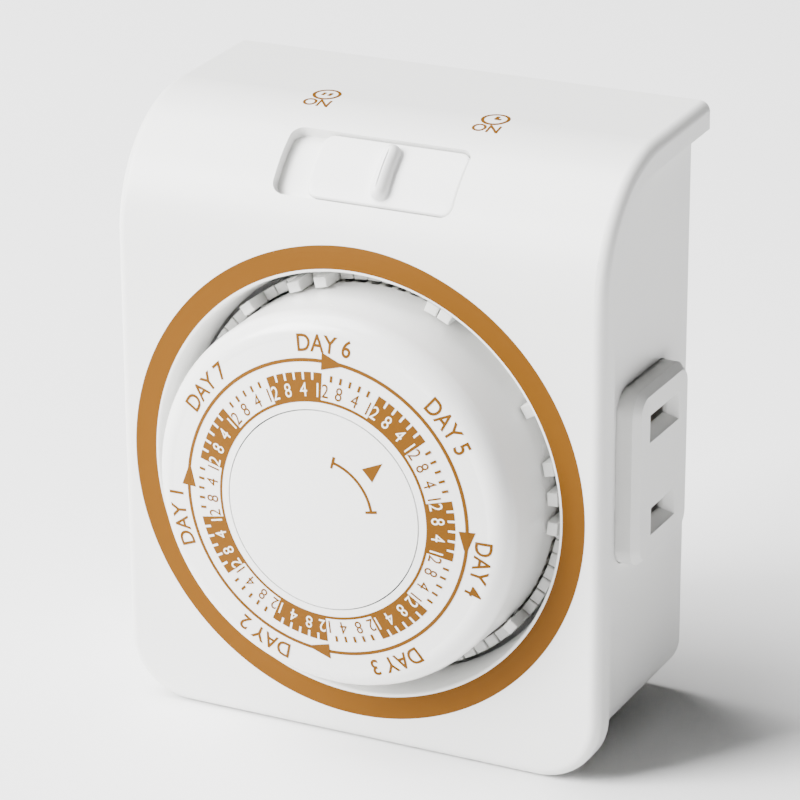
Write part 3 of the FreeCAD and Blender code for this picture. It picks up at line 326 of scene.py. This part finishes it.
def letterFaces(text, height, squeeze, stroke):
    # triangles of a word, centred, with its capitals' height given
    curve = bpy.data.curves.new("letters", "FONT")
    curve.body = text
    curve.align_x = "CENTER"
    curve.size = 1.0
    curve.offset = stroke
    curve.resolution_u = 4
    holder = bpy.data.objects.new("letters", curve)
    bpy.context.scene.collection.objects.link(holder)
    bpy.context.view_layer.update()
    flat = bpy.data.meshes.new_from_object(holder.evaluated_get(bpy.context.evaluated_depsgraph_get()))
    bpy.data.objects.remove(holder)
    low = min(v.co.y for v in flat.vertices)
    high = max(v.co.y for v in flat.vertices)
    scale = height / (high - low)
    faces = []
    for face in flat.polygons:
        corners = [flat.vertices[i].co for i in face.vertices]
        faces.append([(c.x * scale * squeeze, (c.y - low) * scale - height / 2) for c in corners])
    bpy.data.meshes.remove(flat)
    return faces


def bendLetters(faces, radius, clock, straight=False):
    # tops outward, read clockwise
    bent = []
    for face in faces:
        corners = []
        for u, v in face:
            if straight:
                turn = math.atan2(u, radius + v)
                corners.append((math.hypot(u, radius + v), clock + math.degrees(turn)))
            else:
                corners.append((radius + v, clock + math.degrees(u / radius)))
        bent.append(corners)
    return bent


def hourBand():
    gold = []
    paleInk = []
    blockAngle = 360.0 / dial["blocks"]
    tickStep = blockAngle / (dial["ticksPerBlock"] + 1)
    notch = dial["bandOuter"] - dial["tickLength"]
    gold += sector(dial["bandInner"], dial["bandInner"] + dial["bandLine"], 0, 360, rows=1)
    hours = {text: letterFaces(text, dial["numeralHeight"], dial["numeralSqueeze"], dial["numeralStroke"])
             for text in ("1", "2", "8", "4")}
    for block in range(dial["blocks"]):
        start = dial["firstBlock"] + block * blockAngle
        filled = block % 2 == 1
        ink = paleInk if filled else gold
        half = math.degrees(0.5 * dial["tickWidth"] / dial["bandOuter"])
        if filled:
            gold += sector(dial["bandInner"] + dial["bandLine"], notch, start, start + blockAngle)
            edges = [start] + [start + tickStep * (k + 1) for k in range(dial["ticksPerBlock"])]
            edges.append(start + blockAngle)
            for k in range(len(edges) - 1):
                left = edges[k] + (half if k > 0 else 0)
                right = edges[k + 1] - (half if k < dial["ticksPerBlock"] else 0)
                gold += sector(notch, dial["bandOuter"], left, right, rows=1)
        else:
            for k in range(dial["ticksPerBlock"]):
                end = dial["bandOuter"] - dial["tickShort"]
                gold += tick(notch, end, start + tickStep * (k + 1), dial["tickWidth"])
        r = dial["numeralRadius"]
        ink += bendLetters(hours["2"], r, start + dial["twoShift"], True)
        ink += bendLetters(hours["8"], r, start + 2 * tickStep + dial["eightShift"], True)
        ink += bendLetters(hours["4"], r, start + 4 * tickStep - dial["fourShift"], True)
        ink += bendLetters(hours["1"], r, start + blockAngle - dial["oneShift"], True)
    return gold, paleInk


def dayCircle():
    faces = sector(dial["circleRadius"] - dial["circleWidth"] / 2, dial["circleRadius"] + dial["circleWidth"] / 2,
                   0, 360, rows=1)
    for clock in dial["arrowAngles"]:
        reach = math.degrees(dial["arrowLength"] / dial["circleRadius"])
        half = dial["arrowWidth"] / 2
        r = dial["circleRadius"]
        faces.append([(r - half, clock), (r + half, clock), (r, clock + reach)])
    return faces


def dayNumbers():
    faces = []
    for day in range(7):
        number = (6 - day - 1) % 7 + 1
        clock = dial["firstBlock"] + day * 360.0 / 7
        word = letterFaces("DAY " + str(number), dial["dayHeight"], dial["daySqueeze"], dial["dayStroke"])
        faces += bendLetters(word, dial["dayRadius"], clock)
    return faces


def printDial():
    gold, paleInk = hourBand()
    gold += dayCircle()
    gold += dayNumbers()
    lift = dial["lift"]
    printPiece("dial_print", gold, onDome, goldPrint, "dial", lift)
    printPiece("dial_pale_numerals", paleInk, onDome, paperWhite, "dial", dial["paleLift"])


printDial()
print("dial printed")


# Pointer on the fixed centre

pointer = {
    "tip": 11.49, "base": 8.8, "clock": 47.2, "width": 2.1,
    "arcRadius": 7.1, "arcHalf": 33.0, "arcWidth": 0.36, "endReach": 0.6,
}


def printPointer():
    half = math.degrees(0.5 * pointer["width"] / pointer["base"])
    clock = pointer["clock"]
    faces = [[(pointer["base"], clock - half), (pointer["base"], clock + half), (pointer["tip"], clock)]]
    inner = pointer["arcRadius"] - pointer["arcWidth"] / 2
    outer = pointer["arcRadius"] + pointer["arcWidth"] / 2
    faces += sector(inner, outer, clock - pointer["arcHalf"], clock + pointer["arcHalf"], rows=1)
    for side in (-1, 1):
        end = clock + side * pointer["arcHalf"]
        faces += tick(inner - pointer["endReach"], outer + pointer["endReach"], end, pointer["arcWidth"])
    printPiece("centre_pointer", faces, onDome, goldPrint, "housing", dial["lift"])


printPointer()


# Gold ring and switch labels on the cover

labels = {
    "ringStep": 2.0, "height": 1.8, "squeeze": 1.0, "stroke": 0.02, "onDrop": 2.8,
    "left": (-11.9, 15.2), "right": (11.9, 14.6), "iconRadius": 1.65, "line": 0.42,
    "slotSide": 0.45, "slotFoot": 0.45, "slotTop": 0.55, "handLong": 0.95, "handShort": 0.7, "handTail": 0.1,
}


def coverRing():
    faces = []
    for face in sector(cover["ringInner"], cover["ringOuter"], 0, 360, step=labels["ringStep"], rows=4):
        faces.append([(r * math.sin(math.radians(a)), r * math.cos(math.radians(a))) for r, a in face])
    return faces


def roofPlace(y):
    # distance along the skin of a point that lies y back from the front
    radius = cover["bendRadius"]
    endY = radius - radius * math.cos(bendTurn)
    if y >= endY:
        return bendZ + radius * bendTurn + (y - endY) / math.sin(bendTurn)
    return bendZ + radius * math.acos((radius - y) / radius)


def circleLine(x, s, radius, width, start=0, end=360):
    faces = []
    for face in sector(radius - width / 2, radius + width / 2, start, end, step=10, rows=1):
        faces.append([(x + r * math.sin(math.radians(a)), s + r * math.cos(math.radians(a))) for r, a in face])
    return faces


def bar(x0, s0, x1, s1, width):
    along = Vector((x1 - x0, s1 - s0)).normalized() * (width / 2)
    nx, ns = -along.y, along.x
    return [[(x0 + nx, s0 + ns), (x1 + nx, s1 + ns), (x1 - nx, s1 - ns), (x0 - nx, s0 - ns)]]


def coverLabels():
    faces = []
    word = letterFaces("ON", labels["height"], labels["squeeze"], labels["stroke"])
    r = labels["iconRadius"]
    line = labels["line"]
    for side in ("left", "right"):
        x, y = labels[side]
        s = roofPlace(y)
        faces += [[(x + u, s - labels["onDrop"] / 2 + v) for u, v in face] for face in word]
        top = s + labels["onDrop"] / 2
        faces += circleLine(x, top, r, line)
        if side == "left":
            for slotX in (x - labels["slotSide"], x + labels["slotSide"]):
                faces += bar(slotX, top - labels["slotFoot"], slotX, top + labels["slotTop"], line)
        else:
            tail = labels["handTail"]
            faces += bar(x, top - tail, x, top + labels["handLong"], line)
            faces += bar(x - tail, top, x + labels["handShort"], top, line)
    return faces


printPiece("cover_gold_ring", coverRing(), onCover, goldPrint, "housing", cover["lift"])
printPiece("switch_labels", coverLabels(), onCover, goldPrint, "housing", cover["lift"])
print("cover printed")


# Slide key of the switch: plate, half-round thumb ridge and stem, bent to the cover

key = {
    "middle": 45.0, "plate": (2.2, 10.0, 4.65, 1.4), "plateDepths": (1.38, 0.33), "plateRound": 0.34,
    "ridge": (2.1, 1.15, 3.75, 1.13), "ridgeHeight": 1.53, "ridgeFoot": 0.34,
    "stem": (2.1, 2.0, 1.5, 0.1), "stemDepths": (5.05, 1.2),
    "cornerSteps": 6, "sideSteps": 8, "leastRound": 0.03,
    "underInsets": (4.4, 3.0, 1.5, 0.0), "topInsets": (1.0, 2.0, 3.0, 4.4),
    "ridgeRoot": 0.6, "ridgeSink": 0.5, "footSink": 0.04, "crownGap": 0.06,
}


def roundedOutline(middle, halfX, halfS, radius, inset):
    # every ring has as many points, so the rings can be joined face by face
    x = halfX - inset
    s = halfS - inset
    r = max(radius - inset, key["leastRound"])
    cornerSteps = key["cornerSteps"]
    sideSteps = key["sideSteps"]
    points = []
    for corner, (cx, cs) in enumerate(((1, 1), (-1, 1), (-1, -1), (1, -1))):
        for k in range(cornerSteps + 1):
            turn = math.radians(90 * (corner + k / cornerSteps))
            points.append((middle + cx * (x - r) + r * math.cos(turn), cs * (s - r) + r * math.sin(turn)))
        nx, ns = ((-1, 1), (-1, -1), (1, -1), (1, 1))[corner]
        turn = math.radians(90 * (corner + 1))
        endX = middle + nx * (x - r) + r * math.cos(turn)
        endS = ns * (s - r) + r * math.sin(turn)
        startX, startS = points[-1]
        for k in range(1, sideSteps):
            points.append((startX + (endX - startX) * k / sideSteps, startS + (endS - startS) * k / sideSteps))
    return points


def joinRings(work, rings):
    # a closed shell from rings of equally many points, capped at both ends
    for lower, upper in zip(rings, rings[1:]):
        for k in range(len(lower)):
            j = (k + 1) % len(lower)
            work.faces.new((lower[k], lower[j], upper[j], upper[k]))
    work.faces.new(list(reversed(rings[0])))
    work.faces.new(rings[-1])
    bmesh.ops.recalc_face_normals(work, faces=work.faces)


def slideKey():
    middleS = bendZ + cover["bendRadius"] * math.radians(key["middle"])
    low, top = key["plateDepths"]
    soft = key["plateRound"]
    quarter = [math.radians(a) for a in range(0, 91, 15)]
    plate = [(inset, low) for inset in key["underInsets"]]
    plate += [(soft * (1 - math.cos(a)), top + soft * (1 - math.sin(a))) for a in quarter]
    plate += [(inset, top) for inset in key["topInsets"]]
    foot = key["ridgeFoot"]
    ridge = [(key["ridgeRoot"], top + key["ridgeSink"]), (-foot, top + key["footSink"])]
    ridge += [(foot * (math.sin(a) - 1), top - foot * (1 - math.cos(a))) for a in quarter[1:]]
    rise = key["ridgeHeight"] - foot
    crown = key["ridge"][1] - key["crownGap"]
    ridge += [(crown * (1 - math.cos(a)), top - foot - rise * math.sin(a)) for a in quarter[1:]]
    stem = [(0.0, key["stemDepths"][0]), (0.0, key["stemDepths"][1])]
    mesh = bpy.data.meshes.new("slide_key")
    joined = bmesh.new()
    for part, layers in (("plate", plate), ("ridge", ridge), ("stem", stem)):
        shell = bmesh.new()
        rings = [[shell.verts.new(skinPoint(x, middleS + s, depth))
                  for x, s in roundedOutline(*key[part], inset)] for inset, depth in layers]
        joinRings(shell, rings)
        shell.to_mesh(mesh)
        shell.free()
        joined.from_mesh(mesh)
    joined.to_mesh(mesh)
    joined.free()
    piece = newPiece("slide_key", mesh, keyWhite, "mode_switch")
    smoothEdges(piece, 50)
    weighNormals(piece)
    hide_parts("slide_button")


slideKey()
print("slide key moulded")


# Case screws, with domed heads and cross recesses

screws = {"headRadius": 2.6, "headHeight": 1.6, "crown": 0.5, "shank": 1.1, "length": 10.0,
          "crossLength": 2.9, "crossWidth": 0.62, "crossDepth": 0.9, "crossTurn": 20.0,
          "pointRadius": 0.66, "pointLength": 0.8, "headChamfer": 0.1, "headRise": 0.12, "reach": 2.2}


def turnedMesh(name, profile, segments=48):
    # profile is (radius, y) along the piece's own axis, closed on the axis at both ends
    mesh = bpy.data.meshes.new(name)
    work = bmesh.new()
    rings = []
    for radius, y in profile:
        if radius < 1e-6:
            rings.append([work.verts.new((0, y * mm, 0))])
            continue
        ring = []
        for k in range(segments):
            turn = 2 * math.pi * k / segments
            ring.append(work.verts.new((radius * mm * math.cos(turn), y * mm, radius * mm * math.sin(turn))))
        rings.append(ring)
    for a, b in zip(rings, rings[1:]):
        for k in range(segments):
            j = (k + 1) % segments
            corners = [a[k % len(a)], a[j % len(a)], b[j % len(b)], b[k % len(b)]]
            unique = list(dict.fromkeys(corners))
            if len(unique) > 2:
                work.faces.new(unique)
    bmesh.ops.recalc_face_normals(work, faces=work.faces)
    work.to_mesh(mesh)
    work.free()
    return mesh


def crossCutter():
    long = screws["crossLength"] / 2
    wide = screws["crossWidth"] / 2
    deep = screws["crossDepth"]
    outline = []
    for quarter in range(4):
        for a, b in ((long, -wide), (long, wide), (wide, wide)):
            turn = math.radians(90 * quarter + screws["crossTurn"])
            outline.append((a * math.cos(turn) - b * math.sin(turn), a * math.sin(turn) + b * math.cos(turn)))
    work = bmesh.new()
    rings = [[work.verts.new((x * mm, y * mm, z * mm)) for x, z in outline] for y in (-deep, deep)]
    joinRings(work, rings)
    mesh = bpy.data.meshes.new("cross")
    work.to_mesh(mesh)
    work.free()
    cutter = bpy.data.objects.new("cross", mesh)
    bpy.context.scene.collection.objects.link(cutter)
    return cutter


def screwHeads():
    solids = nodes["case_screws"].data
    seatY = max(v.co.y for v in solids.vertices)
    reach = screws["reach"] * screws["headRadius"] * mm
    centres = []
    for v in solids.vertices:
        if v.co.y < seatY - 0.01 * mm:
            continue
        near = [c for c in centres if (c["mid"] - v.co).length < reach]
        if near:
            near[0]["points"].append(v.co.copy())
        else:
            centres.append({"mid": v.co.copy(), "points": [v.co.copy()]})
    r = screws["headRadius"]
    h = screws["headHeight"]
    crown = screws["crown"]
    tip = -screws["length"]
    shank = screws["shank"]
    shoulder = crown + screws["headChamfer"]
    profile = [(0, tip), (screws["pointRadius"], tip), (shank, tip + screws["pointLength"]), (shank, -h),
               (r - screws["headChamfer"], -h), (r, -h + screws["headRise"]), (r, -shoulder)]
    profile += [(r * math.cos(math.radians(a)), shoulder * (math.sin(math.radians(a)) - 1))
                for a in range(15, 90, 15)]
    profile += [(0, 0)]
    cutter = crossCutter()
    for number, group in enumerate(centres, 1):
        xs = [p.x for p in group["points"]]
        zs = [p.z for p in group["points"]]
        place = Vector(((min(xs) + max(xs)) / 2, seatY, (min(zs) + max(zs)) / 2))
        mesh = turnedMesh("case_screw", profile)
        screw = bpy.data.objects.new("case_screw_" + str(number), mesh)
        bpy.context.scene.collection.objects.link(screw)
        screw.data.materials.append(zincSteel)
        cut = screw.modifiers.new("cross recess", "BOOLEAN")
        cut.object = cutter
        cut.operation = "DIFFERENCE"
        cut.solver = "EXACT"
        bpy.context.view_layer.update()
        done = bpy.data.meshes.new_from_object(screw.evaluated_get(bpy.context.evaluated_depsgraph_get()))
        screw.modifiers.clear()
        screw.data = done
        done.materials.clear()
        done.materials.append(zincSteel)
        done.transform(Matrix.Translation(place))
        smoothEdges(screw)
        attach(screw, "housing")
        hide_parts("case_screws")
    bpy.data.objects.remove(cutter)
    print("case screws driven:", len(centres))


screwHeads()


# Studio

studio = {
    "floorSize": 5.0, "floorDrop": 0.0002, "floorRoughness": 0.9, "floorColour": (0.92, 0.92, 0.92),
    "worldStrength": 0.02, "aim": (0.0, -0.02, 0.0),
    "keyPower": 92.0, "keySize": (0.8, 0.8), "keyPlace": (-1.0, -1.05, 0.8),
    "topPower": 90.0, "topSize": (1.3, 1.3), "topPlace": (-0.8, -0.25, 1.45),
    "fillPower": 0.3, "fillSize": (0.8, 0.8), "fillPlace": (0.3, -1.6, 0.35),
}


def addFloor():
    low = cadBox[0]
    bpy.ops.mesh.primitive_plane_add(size=studio["floorSize"], location=(0, 0, low[2] - studio["floorDrop"]))
    floor = bpy.context.object
    floor.name = "studio_floor"
    paper = bpy.data.materials.new("floor paper")
    paper.use_nodes = True
    shader = paper.node_tree.nodes["Principled BSDF"]
    shader.inputs["Base Color"].default_value = (*studio["floorColour"], 1.0)
    shader.inputs["Roughness"].default_value = studio["floorRoughness"]
    floor.data.materials.append(paper)


def addLight(name, power, size, place, target):
    lamp = bpy.data.lights.new(name, "AREA")
    lamp.energy = power
    lamp.shape = "RECTANGLE"
    lamp.size = size[0]
    lamp.size_y = size[1]
    holder = bpy.data.objects.new(name, lamp)
    bpy.context.scene.collection.objects.link(holder)
    holder.location = place
    holder.rotation_euler = (Vector(target) - Vector(place)).to_track_quat("-Z", "Y").to_euler()


def addStudio():
    addFloor()
    skyLight = bpy.data.worlds.new("studio")
    bpy.context.scene.world = skyLight
    skyLight.use_nodes = True
    skyLight.node_tree.nodes["Background"].inputs["Color"].default_value = (1.0, 1.0, 1.0, 1.0)
    skyLight.node_tree.nodes["Background"].inputs["Strength"].default_value = studio["worldStrength"]
    for name in ("key", "top", "fill"):
        addLight(name, studio[name + "Power"], studio[name + "Size"], studio[name + "Place"], studio["aim"])


# Camera, at the photograph's place

view = {"azimuth": 26.523, "elevation": 21.004, "roll": -0.286, "distance": 461.792,
        "aim": (6.47, 0.0, 12.758), "focalPixels": 3733.567, "framePixels": 800.0, "sensor": 36.0}


def addCamera():
    az = math.radians(view["azimuth"])
    el = math.radians(view["elevation"])
    ro = math.radians(view["roll"])
    back = Vector((math.sin(az) * math.cos(el), -math.cos(az) * math.cos(el), math.sin(el)))
    right = Vector((math.cos(az), math.sin(az), 0.0))
    up = back.cross(right)
    across = right * math.cos(ro) + up * math.sin(ro)
    upward = up * math.cos(ro) - right * math.sin(ro)
    lens = bpy.data.cameras.new("photo view")
    lens.sensor_fit = "HORIZONTAL"
    lens.sensor_width = view["sensor"]
    lens.lens = view["sensor"] * view["focalPixels"] / view["framePixels"]
    lens.clip_start = 0.01
    camera = bpy.data.objects.new("photo view", lens)
    bpy.context.scene.collection.objects.link(camera)
    turn = Matrix((across, upward, back)).transposed()
    camera.matrix_world = Matrix.Translation(world(*view["aim"]) + back * view["distance"] * mm) @ turn.to_4x4()
    bpy.context.scene.camera = camera


addStudio()
addCamera()
print("studio and camera set")
